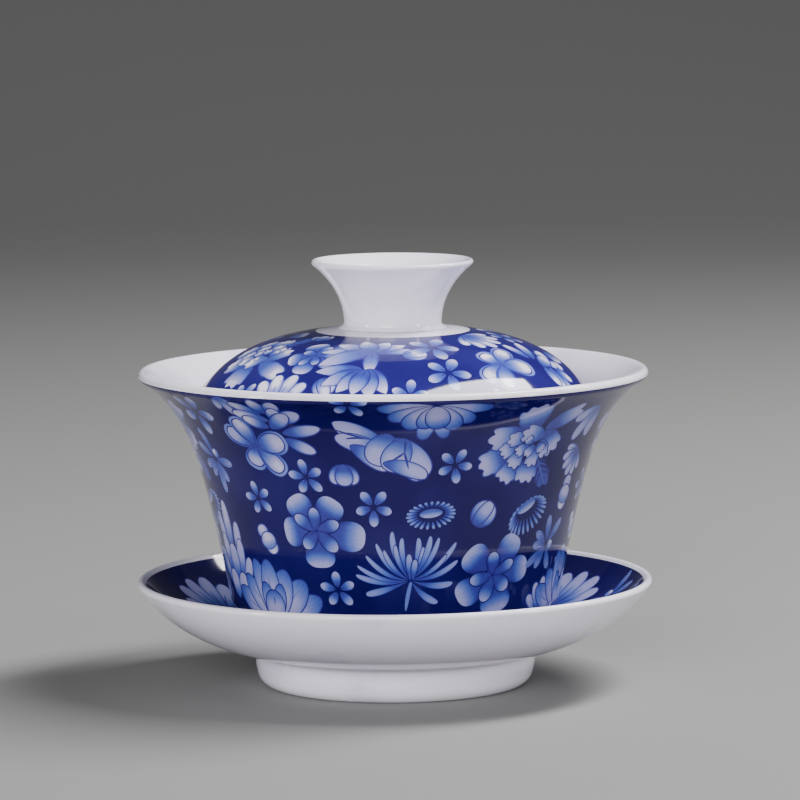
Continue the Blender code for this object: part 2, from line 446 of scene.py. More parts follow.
def printed_zone(profile, first, last, grows, motifs, limits, ground_and_painted_lift):
    """Triangles of the printed stretch of a turned surface, cut along every drawn edge.

    The stretch is laid flat as a ring whose radius is the exponential of the sum of ds / r,
    which keeps all angles. Each motif is drawn on the cone that touches the surface at the
    motif's middle, rolled back on, and a constrained Delaunay triangulation fits the edges
    of all shapes together. A triangle belongs to the last shape that covers it.
    """
    table = np.linspace(first, last, 1500)
    rate = 1.0 / profile.at(table)[0]
    spread = np.concatenate(([0.0], np.cumsum((rate[1:] + rate[:-1]) / 2 * np.diff(table))))
    sheet = 40.0 * np.exp(grows * (spread - spread.mean()))

    def lay(s, azimuth):
        reach = np.interp(s, table, sheet)
        return np.column_stack((reach * np.cos(azimuth), reach * np.sin(azimuth)))

    around = 2 * np.pi * np.arange(COLUMNS) / COLUMNS
    borders = [np.full(COLUMNS, s) for s in (first, last, *limits)]
    cells = profile.rows(limits[0] + 0.5, limits[1] - 0.5, 2.0, 9.0)
    inner_azimuth = 2 * np.pi * (np.arange(COLUMNS // 2) + 0.5) / (COLUMNS // 2)
    known_s = np.concatenate(borders + [np.full(COLUMNS // 2, s) for s in cells])
    known_azimuth = np.concatenate([around] * 4 + [inner_azimuth] * len(cells))
    outer = 1 if grows > 0 else 0
    domain, outlines = list(range(outer * COLUMNS, (outer + 1) * COLUMNS)), []
    rings = [(1 - outer) * COLUMNS, 2 * COLUMNS, 3 * COLUMNS]
    fixed = [(start + k, start + (k + 1) % COLUMNS) for start in rings for k in range(COLUMNS)]

    centres, shapes = [(0.0, first, 1.0, 1.0)], [(0j, 1j, 1.0, 0.0, (ground_and_painted_lift, ground_and_painted_lift, 0.5))]
    flat_s, flat_azimuth = [known_s], [known_azimuth]
    total = len(known_s)
    for kind, azimuth_deg, radius, height, size, turn in motifs:
        middle = profile.nearest(radius, height)
        ring_r = float(profile.at(middle)[0])
        cone = ring_r / max(0.05, abs(float(profile.slope_at(middle)[0])))
        swing = np.exp(-1j * np.radians(turn))
        for curve, root, heading, half, bend, tones in kind(size):
            spot = curve * swing
            far = np.hypot(spot.real, cone + spot.imag)
            s = middle + grows * (far - cone)
            azimuth = np.radians(azimuth_deg) + np.arctan2(spot.real, cone + spot.imag) * cone / ring_r
            flat_s.append(np.clip(s, first + 0.05, last - 0.05))
            flat_azimuth.append(azimuth)
            outlines.append(np.arange(total, total + len(curve)))
            total += len(curve)
            centres.append((math.radians(azimuth_deg), middle, cone, ring_r))
            shapes.append((root * swing, heading * swing, half, bend, tones))

    points = lay(np.concatenate(flat_s), np.concatenate(flat_azimuth))
    fixed += [(a, b) for face in outlines for a, b in zip(face, np.roll(face, -1))]
    found = delaunay_2d_cdt([Vector(point) for point in points], fixed, [domain], 1, 1e-4, True)
    flat = np.array([tuple(point) for point in found[0]])
    triangles = np.array(found[2], dtype=np.int64)
    owner = topmost(flat[triangles].mean(axis=1), [points[face] for face in outlines])

    azimuth = np.arctan2(flat[:, 1], flat[:, 0])
    order = np.argsort(sheet)
    s = np.interp(np.hypot(flat[:, 0], flat[:, 1]), sheet[order], table[order])
    source = np.array([min(sources, default=total) for sources in found[3]])
    ringed = source < 4 * COLUMNS
    s[ringed], azimuth[ringed] = known_s[source[ringed]], known_azimuth[source[ringed]]
    reach = np.hypot(*flat[triangles].mean(axis=1).T)
    kept = reach > np.interp(first if grows > 0 else last, table, sheet) * math.cos(math.pi / COLUMNS) + 1e-3
    triangles, owner = triangles[kept], owner[kept]

    centre = np.array(centres)[owner][:, None, :]
    turned = azimuth[triangles] - centre[..., 0]
    turned = (turned + np.pi) % (2 * np.pi) - np.pi
    far = centre[..., 2] + grows * (s[triangles] - centre[..., 1])
    angle = turned * centre[..., 3] / centre[..., 2]
    spot = far * np.sin(angle) + 1j * (far * np.cos(angle) - centre[..., 2])
    root = np.array([shape[0] for shape in shapes])[owner][:, None]
    heading = np.array([shape[1] for shape in shapes])[owner][:, None]
    half = np.array([shape[2] for shape in shapes])[owner][:, None]
    bend = np.array([shape[3] for shape in shapes])[owner][:, None]
    # A petal's own axis is up, so its heading times i points along it.
    local = (spot - root) / (heading * 1j)
    petal_uv = np.stack(((-local.imag - bend * local.real**2) * np.abs(heading) / half, local.real), axis=-1)
    tones = np.array([shape[4] for shape in shapes])[owner]
    # The ground tone is added to every petal's tones as well, so a ground above DEEP lifts the whole print
    # paler. On the lid this lift is a painted highlight for the light that falls on the dome from above.
    tones[owner > 0, :2] += ground_and_painted_lift
    plain = tones[:, 0] == tones[:, 1]
    petal_uv[plain] = (0.0, 0.5)
    return s, azimuth, triangles, petal_uv, tones


def unrolled(s, azimuth, on_axis, stretches, zone, strips):
    """A flat, non-overlapping map of a turned surface, for carrying its finish as an image.

    Azimuth runs across and arc length runs up. The printed zone is cut into strips that are
    stacked over the plain stretches, and a face goes whole into the strip of its middle.
    """
    spoke = np.where(on_axis, 0.0, np.exp(1j * azimuth)).sum(axis=1)
    middle = np.angle(spoke)[:, None]
    beside = np.where(on_axis, 0.0, (azimuth - middle + np.pi) % (2 * np.pi) - np.pi)
    slack, gap = math.radians(3.5), 0.012
    lengths = [last - first for first, last in stretches]
    height = 1.0 if zone is None else 0.16
    middle_s = s.mean(axis=1)[:, None]
    v = np.zeros_like(s)
    begin = 0.0
    for (first, last), length in zip(stretches, lengths):
        share = (height - gap * (len(stretches) + 1)) / sum(lengths)
        inside = (middle_s >= first) & (middle_s <= last)
        v = np.where(inside, begin + gap + (s - first) * share, v)
        begin += gap + length * share
    u = (middle % (2 * np.pi) + beside + slack) / (2 * np.pi + 2 * slack)
    if zone is not None:
        span = 2 * np.pi / strips
        strip = np.floor((middle % (2 * np.pi)) / span).clip(0, strips - 1)
        band = (1.0 - height) / strips
        printed = (middle_s > zone[0]) & (middle_s < zone[1])
        across = (middle % (2 * np.pi) - strip * span + beside + slack) / (span + 2 * slack)
        up = height + strip * band + (s - zone[0]) / (zone[1] - zone[0]) * (band - gap)
        u, v = np.where(printed, across, u), np.where(printed, up, v)
    return np.stack((0.004 + 0.992 * u, v), axis=-1)


def turned_piece(name, profile, material, zone=None, limits=None, grows=1, motifs=(), bare=(), ground_and_painted_lift=DEEP,
                 strips=3):
    """One closed porcelain surface: the profile carried round Z, with a printed zone set into it.

    A point at arc length s and azimuth a lies at (r sin a, -r cos a, z), so azimuth 0 faces
    the front and grows to the right. Its normal is the profile's own, turned the same way.
    Rings meet at equal points, which are merged, and each face is turned to face outward.
    """
    stretches = [(0.0, profile.length)] if zone is None else [(0.0, zone[0]), (zone[1], profile.length)]
    all_s, all_azimuth, all_faces, all_uv, all_tones, count = [], [], [], [], [], 0
    for first, last in stretches:
        rows = profile.rows(first, last, 2.2, 7.0)
        s, azimuth = np.meshgrid(rows, 2 * np.pi * np.arange(COLUMNS) / COLUMNS, indexing="ij")
        index = count + np.arange(s.size).reshape(s.shape)
        beside = np.roll(index, -1, axis=1)
        quads = np.stack((index[:-1], index[1:], beside[1:], beside[:-1]), axis=-1).reshape(-1, 4)
        triangles = np.vstack((quads[:, [0, 1, 2]], quads[:, [0, 2, 3]]))
        all_s.append(s.ravel())
        all_azimuth.append(azimuth.ravel())
        all_faces.append(triangles)
        all_uv.append(np.tile((0.0, 0.5), (len(triangles), 3, 1)))
        all_tones.append(np.tile((WHITE, WHITE, 0.5), (len(triangles), 1)))
        count += s.size
    if zone is not None:
        s, azimuth, triangles, uv, tones = printed_zone(profile, *zone, grows, motifs, limits, ground_and_painted_lift)
        all_s.append(s)
        all_azimuth.append(azimuth)
        all_faces.append(triangles + count)
        all_uv.append(uv)
        all_tones.append(tones)

    s, azimuth = np.concatenate(all_s), np.concatenate(all_azimuth)
    faces, uv, tones = np.vstack(all_faces), np.concatenate(all_uv), np.vstack(all_tones)
    radius, height = profile.at(s)
    outward, upward = profile.slope_at(s)
    points = np.column_stack((radius * np.sin(azimuth), -radius * np.cos(azimuth), height)) * MM
    normals = np.column_stack((-upward * np.sin(azimuth), upward * np.cos(azimuth), outward))

    _, kept, merged = np.unique(np.round(points / 1e-8), axis=0, return_index=True, return_inverse=True)
    merged = merged.reshape(-1)
    on_axis = radius < 1e-6
    normals[on_axis] = np.column_stack((0 * s, 0 * s, np.sign(outward)))[on_axis]
    middle_s = s[faces].mean(axis=1)
    flat_uv = unrolled(s[faces], azimuth[faces], on_axis[faces], stretches, zone, strips)
    faces = merged[faces]
    points, normals = points[kept], normals[kept]
    whole = (faces[:, 0] != faces[:, 1]) & (faces[:, 1] != faces[:, 2]) & (faces[:, 2] != faces[:, 0])
    faces, uv, tones = faces[whole], uv[whole], tones[whole]
    middle_s, flat_uv = middle_s[whole], flat_uv[whole]
    corner = points[faces]
    facing = np.cross(corner[:, 1] - corner[:, 0], corner[:, 2] - corner[:, 0])
    flipped = np.einsum("ij,ij->i", facing, normals[faces].sum(axis=1)) < 0
    faces[flipped] = faces[flipped][:, ::-1]
    uv[flipped] = uv[flipped][:, ::-1]
    flat_uv[flipped] = flat_uv[flipped][:, ::-1]
    for first, last in () if zone is None else ((zone[0], limits[0]), (limits[1], zone[1])):
        edging = (middle_s > first) & (middle_s < last)
        tones[edging], uv[edging] = (WHITE, WHITE, 0.5), (0.0, 0.5)
    clay = np.zeros(len(faces))
    for first, last in bare:
        clay[(middle_s > first) & (middle_s < last)] = 1.0

    mesh = bpy.data.meshes.new(name)
    mesh.vertices.add(len(points))
    mesh.vertices.foreach_set("co", points.ravel())
    mesh.loops.add(faces.size)
    mesh.loops.foreach_set("vertex_index", faces.ravel().astype(np.int32))
    mesh.polygons.add(len(faces))
    mesh.polygons.foreach_set("loop_start", np.arange(0, faces.size, 3, dtype=np.int32))
    mesh.update(calc_edges=True)
    mesh.uv_layers.new(name="petal").data.foreach_set("uv", uv.ravel())
    mesh.uv_layers.new(name="OFBake").data.foreach_set("uv", flat_uv.ravel())
    mesh.attributes.new("tones", "FLOAT_VECTOR", "FACE").data.foreach_set("vector", tones.ravel())
    mesh.attributes.new("bare", "FLOAT", "FACE").data.foreach_set("value", clay)
    mesh.shade_smooth()
    mesh.normals_split_custom_set_from_vertices(normals)
    mesh.materials.append(material)
    piece = bpy.data.objects.new(name, mesh)
    bpy.context.scene.collection.objects.link(piece)
    return piece


glazed = porcelain("printed_porcelain")

low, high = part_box("saucer")
rim_r, rim_z = high[0] / MM, high[2] / MM
wall, well_r, well_z, foot_r = 2.2, 25.2, 7.9, 27.6
belly = bezier((rim_r - 0.15, rim_z - 1.2), (47.3, 14.2), (39.2, 8.8), (28.4, 6.9), 9)
thickness = wall - 0.7 * np.linspace(1.0, 0.0, 9)[:, None] ** 3  # thins towards the lip
slope = offset(belly, -thickness)[::-1]
saucer = Profile([
    (0.0, well_z), (12.0, well_z), (well_r - 0.9, well_z), (well_r, well_z + 0.45),
    (well_r + 1.2, well_z + 1.15),
    *slope, *half_round(slope[-1], belly[0], 5), *belly,
    (foot_r + 0.1, 6.4), (foot_r - 0.05, 4.0), (foot_r - 0.7, 1.6), (foot_r - 1.8, 0.4),
    (foot_r - 2.8, 0.0), (foot_r - 4.9, 0.0), (foot_r - 5.4, 0.4), (foot_r - 6.2, 3.7), (foot_r - 7.6, 4.7),
    (12.0, 4.7), (0.0, 4.7),
])
# The zone that is cut for the print, and the limits in it that the cobalt keeps to.
rim_s, edging = saucer.nearest(*slope[-1]), 0.25
saucer_zone = (saucer.nearest(26.4, 9.0), rim_s - 0.2)
saucer_print = (saucer.nearest(26.9, 9.0), rim_s - 0.2 - edging)


def on_saucer(kind, azimuth, radius, size, turn):
    """A motif on the inner slope, at a distance from the middle."""
    place = np.argmin(np.abs(slope[:, 0] - radius))
    return kind, azimuth, radius, slope[place, 1], size, turn


# Motif, azimuth in degrees, distance from the middle, size in mm and turn, three times round.
third = (
    (half_fan, 124, 37.0, 11.5, -14), (lined_flower, 103, 43.6, 6.0, -24), (star, 90, 45.6, 3.7, 10),
    (spray, 82, 30.5, 7.5, 40), (left_blossom, 71, 38.0, 9.0, 0), (ball_bud, 95, 36.0, 5.2, 30),
    (star, 57, 45.4, 3.6, 10), (bud, 146, 44.6, 4.6, 0), (lotus, 159, 29.5, 12.0, 8),
    (star, 173, 45.0, 3.8, 40), (star, 108, 31.5, 3.8, 0), (star, 137, 31.0, 3.4, 10),
)
saucer_motifs = [on_saucer(kind, azimuth + shift, *rest)
                 for shift in (0.0, 120.0, 240.0) for kind, azimuth, *rest in third]
saucer_piece = turned_piece(
    "saucer_porcelain", saucer, glazed, zone=saucer_zone, limits=saucer_print, grows=1, motifs=saucer_motifs,
    bare=((saucer.nearest(foot_r - 2.4, 0.1), saucer.nearest(foot_r - 5.2, 0.2)),),
)
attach(saucer_piece, "saucer")
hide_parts("saucer")

# ---------------------------------------------------------------------------------------
# Bowl. One thrown piece: a tapered wall that flares to a rounded white lip, a tight
# shoulder and a foot ring that stands in the saucer's well. The whole outside is printed.
# ---------------------------------------------------------------------------------------

low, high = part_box("bowl")
foot_z, lip_z, lip_r = low[2] / MM, high[2] / MM, high[0] / MM
shoulder_z, shoulder_r, taper, flare, flare_depth, bowl_wall = 18.7, 3.7, 0.205, 8.5, 6.8, 2.1
top_z, under_z, floor_z, ring_r = lip_z - 1.85, 13.2, 16.6, 23.6
depth = (top_z - shoulder_z) * np.linspace(0.0, 1.0, 16) ** 1.4
# The wall's radius at a depth below the lip: a straight taper and a flare that dies away.
wall_r = lip_r - 0.4 - flare - taper * depth + flare * np.exp(-depth / flare_depth)
wall_line = np.column_stack((wall_r, top_z - depth))
inside = offset(wall_line, -bowl_wall)[::-1]
bowl = Profile([
    (0.0, floor_z),
    *bezier((12.0, floor_z), (22.5, floor_z), (28.9, 17.6), (inside[1][0] - 0.35, 23.8), 8),
    *inside[2:], *half_round(inside[-1], wall_line[0], 5), *wall_line,
    *arc((wall_line[-1][0] - shoulder_r, shoulder_z), shoulder_r, -18.0, -72.0, 5),
    (ring_r + 1.2, under_z + 0.5), (ring_r + 0.4, under_z - 0.6), (ring_r, foot_z + 0.8),
    (ring_r - 0.6, foot_z), (ring_r - 2.4, foot_z), (ring_r - 2.9, foot_z + 0.6),
    (ring_r - 3.3, under_z - 1.2), (ring_r - 4.6, under_z), (10.0, under_z), (0.0, under_z),
])
# The print starts on the lip's own rounding, so that only its crest stays white.
lip_s = bowl.nearest(*wall_line[0]) - 0.8
bowl_zone = (lip_s - edging, bowl.nearest(ring_r + 1.9, under_z + 0.6))
bowl_print = (lip_s, bowl.nearest(ring_r + 2.3, under_z + 0.75))


def right_blossom(size):
    """The big blossom that stands right of the bowl's middle."""
    outer = ((-50, 0.84, 0.66), (32, 0.94, 0.56), (85, 0.92, 0.58), (166, 0.84, 0.74), (238, 0.90, 0.60))
    inner = ((130, 0.48, 0.32), (-4, 0.46, 0.30), (62, 0.52, 0.25), (198, 0.56, 0.31), (258, 0.50, 0.28))
    return blossom(size, outer, inner)


def double_blossom(size):
    """Flower of five petals, each a pale rim, a drawn blue line and a full pale middle."""
    shapes = []
    rim = 0.15
    for turn, reach, width in (
        (200, 0.68, 0.64), (-64, 0.96, 0.60), (-22, 0.94, 0.62), (138, 1.0, 0.60), (80, 0.98, 0.72),
    ):
        shapes += drawn(polar(0.03 * size, turn), turn, reach * size, width * size, line=0.12,
                        belly=(0.7, 0.42), tones=(0.36, 0.66), fade=0.5, points=30)
        shapes += drawn(polar(0.07 * size, turn), turn, (reach - rim) * size, (width - rim) * size,
                        line=0.26, ink=0.12, belly=(0.72, 0.42), tones=(0.32, 0.88), fade=0.42, points=30)
    for turn in (10, 82, 154, 226, 298):
        shapes += stroke((0.0, 0.0), turn, 0.2 * size, 0.06 * size)
    return shapes


def hanging_lotus(size):
    """Full lotus whose broad petals overlap, blue at their tips, with small ones behind."""
    looks = dict(belly=(0.62, 0.42), tones=(0.86, 0.3), fade=0.8, ink=0.12)
    shapes = []
    for lean, reach, width in ((10, 0.92, 0.30), (-16, 0.92, 0.28)):
        shapes += drawn((0.0, 0.0), lean, reach * size, width * size, **looks)
    for lean, reach, width in ((-80, 1.1, 0.30), (82, 1.06, 0.34), (62, 0.92, 0.36), (-56, 0.92, 0.36),
                               (-36, 0.82, 0.40), (38, 0.80, 0.42), (16, 0.66, 0.34), (-12, 0.66, 0.44)):
        shapes += drawn((0.0, 0.0), lean, reach * size, width * size, points=26, **looks)
    return shapes


def layered_lotus(size):
    """Lotus seen from beside, its petals laid over each other towards both ends."""
    rows = (
        (-0.02, 0.34, -62, 0.80, 0.32), (0.14, 0.40, -22, 0.56, 0.36), (0.26, 0.36, 30, 0.56, 0.38),
        (0.34, 0.14, 70, 0.72, 0.40), (0.10, 0.16, -80, 0.92, 0.36), (0.30, 0.10, 14, 0.50, 0.36),
        (0.02, -0.08, -68, 0.66, 0.32), (0.10, -0.10, 52, 0.74, 0.38), (0.36, -0.26, 84, 1.0, 0.32),
        (0.34, -0.44, 120, 0.78, 0.30),
    )
    return drawn_petals(size, rows, belly=(0.7, 0.56), line=0.3, tones=(0.30, 0.88), fade=0.42, points=26)


def magnolia(size):
    """Two half-open magnolia buds end to end, their wrapped petals parted by forked veins."""
    shapes = []
    for x, y, turn, reach, width, belly, bend in (
        (0.10, 0.12, 294, 1.02, 0.42, (0.8, 0.66), 0.08), (0.10, -0.02, 292, 0.92, 0.36, (0.7, 0.5), -0.06),
        (-0.52, 0.10, 120, 0.78, 0.30, (0.6, 0.5), 0.10), (0.16, 0.36, 204, 0.68, 0.52, (0.55, 0.42), 0.0),
        (0.26, 0.26, 146, 0.94, 0.52, (0.6, 0.34), 0.06), (0.44, 0.24, 206, 0.70, 0.48, (0.55, 0.4), 0.0),
        (0.04, -0.24, 102, 0.78, 0.28, (0.6, 0.4), 0.16),
    ):
        shapes += drawn((x * size, y * size), turn, reach * size, width * size, belly=belly,
                        tones=(0.34, 0.88), fade=0.36, bend=bend, points=30)
    for x, y, turn, reach, bend in (
        (0.44, 0.22, 186, 0.30, 0.0), (0.41, -0.04, 231, 0.38, 0.1), (0.41, -0.04, 170, 0.34, 0.0),
        (-0.78, 0.44, 112, 0.72, -0.1), (-0.60, 0.24, 72, 0.44, 0.3),
    ):
        shapes += stroke((x * size, y * size), turn, reach * size, 0.045 * size, tones=(0.2, 0.3), bend=bend)
    return shapes


def leaf_shapes(root, turn, size):
    """A toothed leaf left dark, with paler veins."""
    shapes = petal(root, turn, size, 0.62 * size, belly=(0.6, 0.6), tones=(0.12, 0.30), fade=0.6,
                   frill=0.14, points=60)
    shapes += stroke(root, turn, 0.92 * size, 0.05 * size, tones=(0.4, 0.4))
    for share in (0.14, 0.34, 0.54):
        step = polar(share * size, turn)
        fork = (root[0] + step[0], root[1] + step[1])
        for lean in (-40, 40):
            shapes += stroke(fork, turn + lean, 0.34 * size, 0.04 * size, tones=(0.4, 0.36))
    return shapes


def peony(size):
    """Full peony: loose scalloped petals round a crowded heart of small curled ones, and a leaf."""
    shapes = leaf_shapes((0.36 * size, -0.34 * size), 150, 0.74 * size)
    outer = (
        (-0.18, -0.34, 212, 0.48, 0.46), (-0.40, -0.14, 238, 0.66, 0.54), (0.18, -0.28, 188, 0.54, 0.52),
        (0.34, 0.28, 142, 0.66, 0.50), (0.30, 0.34, 64, 0.94, 0.46), (-0.12, 0.26, 262, 0.84, 0.54),
        (0.02, 0.30, -20, 0.76, 0.72),
    )
    shapes += drawn_petals(size, outer, belly=(0.66, 0.34), tones=(0.28, 0.86), fade=0.5,
                           frill=0.16, points=56)
    heart = (
        (-0.26, 0.04, 236, 0.40, 0.36), (-0.06, 0.16, 268, 0.46, 0.34), (0.34, 0.08, 168, 0.44, 0.36),
        (-0.10, -0.10, 206, 0.42, 0.34), (0.20, -0.06, 180, 0.44, 0.32), (0.36, 0.16, -76, 0.62, 0.42),
        (0.02, 0.0, 236, 0.32, 0.26), (0.16, -0.02, 214, 0.28, 0.22), (0.26, 0.0, 140, 0.24, 0.22),
        (0.1, 0.02, -50, 0.22, 0.2),
    )
    return shapes + drawn_petals(size, heart, line=0.22, ink=0.1, belly=(0.7, 0.34), tones=(0.34, 0.86),
                                 fade=0.44, frill=0.2, points=44)


def daisy(size, flat=0.58, drop=0.06):
    """Daisy seen from one side: an oval middle, a dark gap, and rays that are longer in front."""
    shapes = []
    for k in range(23):
        turn = 360.0 * k / 23 + 4.0
        x, y = polar(0.54 * size, turn)
        tip_x, tip_y = polar(size, turn)
        rise, run = (tip_y - y) * flat - drop * size, tip_x - x
        root = (x, y * flat - 0.4 * drop * size)
        shapes += petal(root, math.degrees(math.atan2(run, rise)), math.hypot(run, rise), 0.12 * size,
                        belly=(0.8, 0.4), tones=(0.3, 0.68), fade=0.5, points=12)
    t = np.linspace(0.0, 2 * np.pi, 29)[:-1]
    oval = 0.46 * size * (np.cos(t) + 1j * 0.68 * flat * np.sin(t))
    top, down = complex(0, 0.3 * size * flat), complex(-0.6 * size * flat)
    return shapes + [(oval, top, down, 0.5 * size, 0.0, (0.4, 0.8, 0.5))]


def tilted_daisy(size):
    """Daisy turned further away, so that its front rays fan out long."""
    return daisy(size, flat=0.62, drop=0.32)


def spider(size):
    """Spider chrysanthemum: long thin petals with club tips that curl up, on a short stem."""
    shapes = stroke((0.02 * size, -0.02 * size), 194, 0.58 * size, 0.08 * size, tones=(0.55, 0.6), bend=-0.08)
    for x, y, width, bend in (
        (-0.78, -0.29, 0.13, 0.10), (-0.97, 0.06, 0.12, 0.36), (-0.95, 0.24, 0.11, 0.54),
        (-0.80, 0.44, 0.12, 0.60), (-0.62, 0.68, 0.12, 0.56), (-0.48, 0.56, 0.10, 0.46),
        (-0.34, 0.92, 0.125, 0.40), (-0.28, 0.66, 0.10, 0.34), (-0.16, 0.80, 0.10, 0.24),
        (0.15, 0.80, 0.11, -0.24), (0.24, 0.62, 0.10, -0.28), (0.37, 0.82, 0.12, -0.34),
        (0.52, 0.78, 0.11, -0.44), (0.84, 0.66, 0.125, -0.48), (0.66, 0.44, 0.10, -0.46),
        (0.87, 0.31, 0.125, -0.44), (0.77, -0.11, 0.14, -0.32), (0.49, -0.46, 0.14, -0.28),
    ):
        # Each petal ends at (x, y), so it sets out turned back by the angle that its bend adds.
        turn = math.degrees(math.atan2(x, y)) - math.degrees(math.atan(bend))
        length = 0.98 * math.hypot(x, y) * size / math.hypot(1.0, bend)
        shapes += drawn((0.03 * x * size, 0.03 * y * size), turn, length, width * size, line=0.16,
                        ink=0.05, belly=(1.45, 0.42), tones=(0.3, 0.74), fade=0.56, bend=bend, points=30)
    middle = ((0.0, 0.0, -3, 0.50, 0.12), (0.05, 0.0, 6, 0.40, 0.11))
    return shapes + drawn_petals(size, middle, line=0.2, ink=0.02, belly=(0.9, 0.5),
                                 tones=(0.28, 0.72), fade=0.5)


def stacked_bud(size):
    """Bud that has shed its cap: a round body with the cap above and a sliver of leaf below."""
    leaf_end = drawn_petals(size, ((0.1, -0.1, 180, 0.42, 0.46),), belly=(0.5, 0.5), fade=0.3)
    cap = drawn_petals(size, ((-0.04, 0.06, -6, 0.44, 0.44),), belly=(0.5, 0.45), fade=0.3)
    return leaf_end + cap + drawn_petals(size, ((0.04, -0.34, 0, 0.56, 0.60),), belly=(0.5, 0.5), fade=0.3)


def lily(size):
    """Tall bud of long pale petals that stand in rows above a small cup."""
    rows = (
        (-0.22, 0.16, -6, 0.72, 0.22), (0.24, 0.10, 8, 0.66, 0.22), (0.0, 0.24, 1, 0.86, 0.26),
        (-0.18, -0.16, -8, 0.66, 0.26), (0.22, -0.20, 10, 0.66, 0.24), (-0.3, -0.4, -20, 0.6, 0.22),
        (0.32, -0.42, 22, 0.6, 0.22), (0.02, -0.26, 0, 0.6, 0.32), (-0.1, -0.62, -10, 0.5, 0.34),
        (0.12, -0.64, 12, 0.5, 0.32),
    )
    return drawn_petals(size, rows, belly=(0.6, 0.5), tones=(0.4, 0.88), fade=0.3, points=24)


def on_wall(kind, azimuth, height, size, turn):
    """A motif on the bowl's outside, at a height above the table."""
    radius = np.interp(height, wall_line[::-1, 1], wall_line[::-1, 0])
    return kind, azimuth, radius, height, size, turn


# Motif, azimuth in degrees, height, size in mm and turn.
front = [on_wall(*row) for row in (
    (star, -57, 57.0, 5.4, 26), (spray, -42.5, 61.6, 5.6, 172), (layered_lotus, -33, 55.8, 8.2, 0),
    (double_blossom, -39.5, 51.2, 7.7, 0), (star, -10, 60.8, 4.2, 0), (hanging_lotus, 9.5, 60.2, 10.4, 180),
    (magnolia, -3.4, 51.0, 11.0, 0), (peony, 38.5, 51.0, 10.2, 0), (spray, 62, 57.6, 8.4, 206),
    (half_fan, 63, 48.4, 5.4, 215), (lined_flower, -60.5, 47.4, 5.6, -50), (star, -25.3, 45.4, 3.8, -16),
    (bud, -14, 46.0, 4.4, 180), (star, 17.0, 47.8, 3.7, 20), (star, -44, 40.4, 3.5, -20),
    (star, -6, 39.8, 3.8, 30), (daisy, 11, 38.4, 4.9, -6), (ball_bud, 27.6, 37.8, 5.3, 38),
    (tilted_daisy, 43.5, 38.4, 5.3, -28), (stacked_bud, 62, 40.0, 6.6, 20),
    (left_blossom, -24.3, 34.8, 9.4, 0), (stacked_bud, -43.5, 32.4, 6.0, -16), (lily, -65, 26.2, 11.6, 0),
    (lotus, -45, 15.2, 12.4, 0), (star, -18.8, 23.2, 3.7, -12), (spider, 5.0, 25.2, 10.6, 0),
    (right_blossom, 33.6, 25.4, 9.5, 0), (lined_flower, 57, 30.0, 5.4, 10), (half_fan, 60, 15.4, 7.2, 10),
    (star, 72, 25.0, 4.0, 0),
)]
sides = [(kind, azimuth + shift, *rest)
         for shift in (-120.0, 120.0) for kind, azimuth, *rest in front if abs(azimuth) < 50]
back = [on_wall(*row) for row in (
    (lined_flower, 180, 55.0, 5.4, 0), (bud, 178, 46.0, 4.0, 10), (star, 184, 38.0, 4.0, 0),
    (daisy, 177, 28.0, 4.8, 12), (star, 183, 20.0, 3.8, 0),
)]
bowl_piece = turned_piece(
    "bowl_porcelain", bowl, glazed, zone=bowl_zone, limits=bowl_print, grows=-1,
    motifs=front + sides + back, strips=2,
    bare=((bowl.nearest(ring_r - 0.3, foot_z + 0.3), bowl.nearest(ring_r - 2.7, foot_z + 0.3)),),
)
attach(bowl_piece, "bowl")
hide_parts("bowl")

# ---------------------------------------------------------------------------------------
# Lid. A thrown dome whose edge drops inside the bowl's mouth. Its top is printed from a
# white ring round the knob out to the edge, and its underside is plain white glaze.
# ---------------------------------------------------------------------------------------

lid_rim, lid_top, lid_wall, sag, roll, power = 40.3, 71.0, 2.2, 6.4, 9.1, 5.5
# The dome falls with the square of its radius, and rolls over with a high power of it.
dome_r = lid_rim * np.sin(np.radians(np.linspace(0.0, 90.0, 20)))
dome_z = lid_top - sag * (dome_r / lid_rim) ** 2 - roll * (dome_r / lid_rim) ** power
dome = np.column_stack((dome_r, dome_z))
under = offset(dome, -lid_wall)[::-1]
under[-1] = (0.0, lid_top - lid_wall)
lid = Profile([*dome, *half_round(dome[-1], under[0], 5), *under])
lid_zone = (lid.nearest(14.6, 70.2), lid.nearest(*dome[-1]))
lid_print = (lid.nearest(15.2, 70.1), lid.nearest(*dome[-1]) - 0.6)


def trumpet(size):
    """Large lily with long pointed petals that spread both ways from a narrow throat."""
    shapes = []
    for x, y, turn, reach, width in (
        (0.0, 0.1, -80, 0.62, 0.17), (0.0, 0.1, 84, 0.74, 0.18), (0.0, 0.1, -54, 0.5, 0.18),
        (0.02, 0.1, 58, 0.6, 0.2), (0.0, 0.08, -22, 0.44, 0.2), (0.0, 0.1, 24, 0.46, 0.2),
        (0.0, 0.14, 116, 0.8, 0.28), (0.0, 0.1, 182, 0.6, 0.16), (0.08, -0.40, 86, 0.66, 0.19),
        (0.06, -0.42, 112, 0.62, 0.2), (0.0, -0.38, 214, 0.56, 0.2), (0.03, -0.40, 138, 0.56, 0.2),
        (0.0, -0.38, 188, 0.56, 0.22), (0.02, -0.4, 162, 0.5, 0.2),
    ):
        shapes += drawn((x * size, y * size), turn, reach * size, 1.25 * width * size, ink=0.12,
                        belly=(0.7, 0.85), tones=(0.28, 0.84), fade=0.52, points=26)
        shapes += stroke((x * size, y * size), turn, 0.6 * reach * size, 0.02 * size, tones=(0.15, 0.4))
    return shapes


def on_dome(kind, azimuth, radius, size, turn):
    """A motif on the lid, at a distance from its middle; turn 0 points outward."""
    return kind, azimuth, radius, np.interp(radius, dome[:, 0], dome[:, 1]), size, turn


